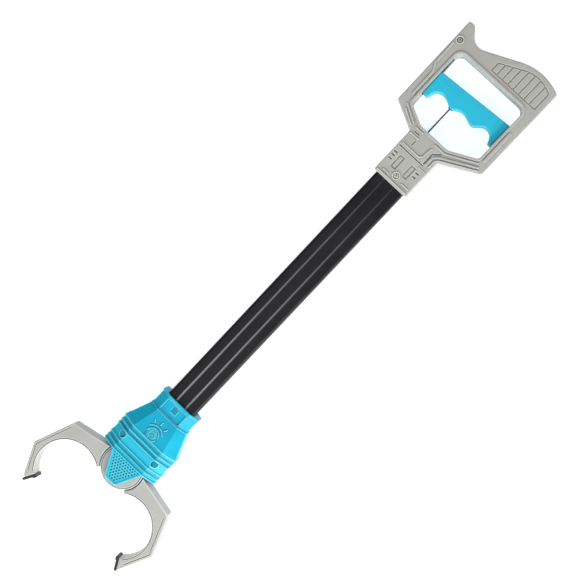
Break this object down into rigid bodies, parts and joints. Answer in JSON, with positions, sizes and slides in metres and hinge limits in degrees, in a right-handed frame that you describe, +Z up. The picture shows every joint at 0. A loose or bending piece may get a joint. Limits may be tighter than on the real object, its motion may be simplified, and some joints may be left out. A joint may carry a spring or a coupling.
{
  "type": "reacher grabber",
  "caption": "Pick-up tool with a D-shaped handle and sliding finger trigger, a long grooved rectangular tube, and a claw head whose two hooked jaws close together.",
  "frame": {"origin": "middle of the underside of the whole tool, which lies on its back faces", "axes": "+X along the tube towards the jaws, +Y to the left across the jaws, +Z up from the back faces to the front faces"},
  "size_m": [0.5994, 0.155, 0.0358],
  "materials": {
    "grey_plastic": "satin moulded warm grey plastic with a fine grain",
    "cyan_plastic": "semi-gloss moulded cyan plastic",
    "trigger_plastic": "satin moulded light cyan plastic",
    "black_tube": "smooth black extruded tube",
    "natural_plastic": "natural off-white moulded plastic",
    "rubber_pad": "dull black rubber",
    "steel": "plain bright steel"
  },
  "bodies": {
    "frame": {"handle_front_shell": "grey_plastic", "handle_back_shell": "grey_plastic", "handle_screw_1": "steel", "handle_screw_2": "steel", "handle_screw_3": "steel", "handle_screw_4": "steel", "handle_screw_5": "steel", "shaft_tube": "black_tube", "rear_rod_guide": "natural_plastic", "front_rod_guide": "natural_plastic", "neck_tube_screw": "steel", "head_tube_screw": "steel", "head_front_shell": "cyan_plastic", "head_back_shell": "cyan_plastic", "head_screw_1": "steel", "head_screw_2": "steel", "head_badge": "cyan_plastic", "return_spring": "steel", "front_pivot_cap": "grey_plastic", "back_pivot_cap": "grey_plastic", "pivot_pin": "steel"},
    "trigger_and_rod": {"trigger": "trigger_plastic", "rod_ferrule": "steel", "pull_rod": "steel", "rod_nut": "steel", "cam_slider": "natural_plastic", "cam_pin": "steel"},
    "left_jaw_body": {"left_jaw": "grey_plastic", "left_jaw_pad": "rubber_pad"},
    "right_jaw_body": {"right_jaw": "grey_plastic", "right_jaw_pad": "rubber_pad"}
  },
  "joints": [
    {"name": "trigger_slide", "type": "slide", "parent": "frame", "child": "trigger_and_rod", "axis": [-1, 0, 0], "range_m": [0, 0.015], "stiffness_N_per_m": 400, "springref_m": -0.005, "deforming": ["return_spring"]},
    {"name": "left_jaw_hinge", "type": "hinge", "parent": "frame", "child": "left_jaw_body", "pos_m": [0.22171, 0, 0.0179], "axis": [0, 0, -1], "range_deg": [0, 37.5]},
    {"name": "right_jaw_hinge", "type": "hinge", "parent": "frame", "child": "right_jaw_body", "pos_m": [0.22171, 0, 0.0179], "axis": [0, 0, 1], "range_deg": [0, 37.5]}
  ],
  "couplings": [
    {"joint": "left_jaw_hinge", "follows": "trigger_slide", "rad_per_m": 43.633},
    {"joint": "right_jaw_hinge", "follows": "trigger_slide", "rad_per_m": 43.633}
  ]
}
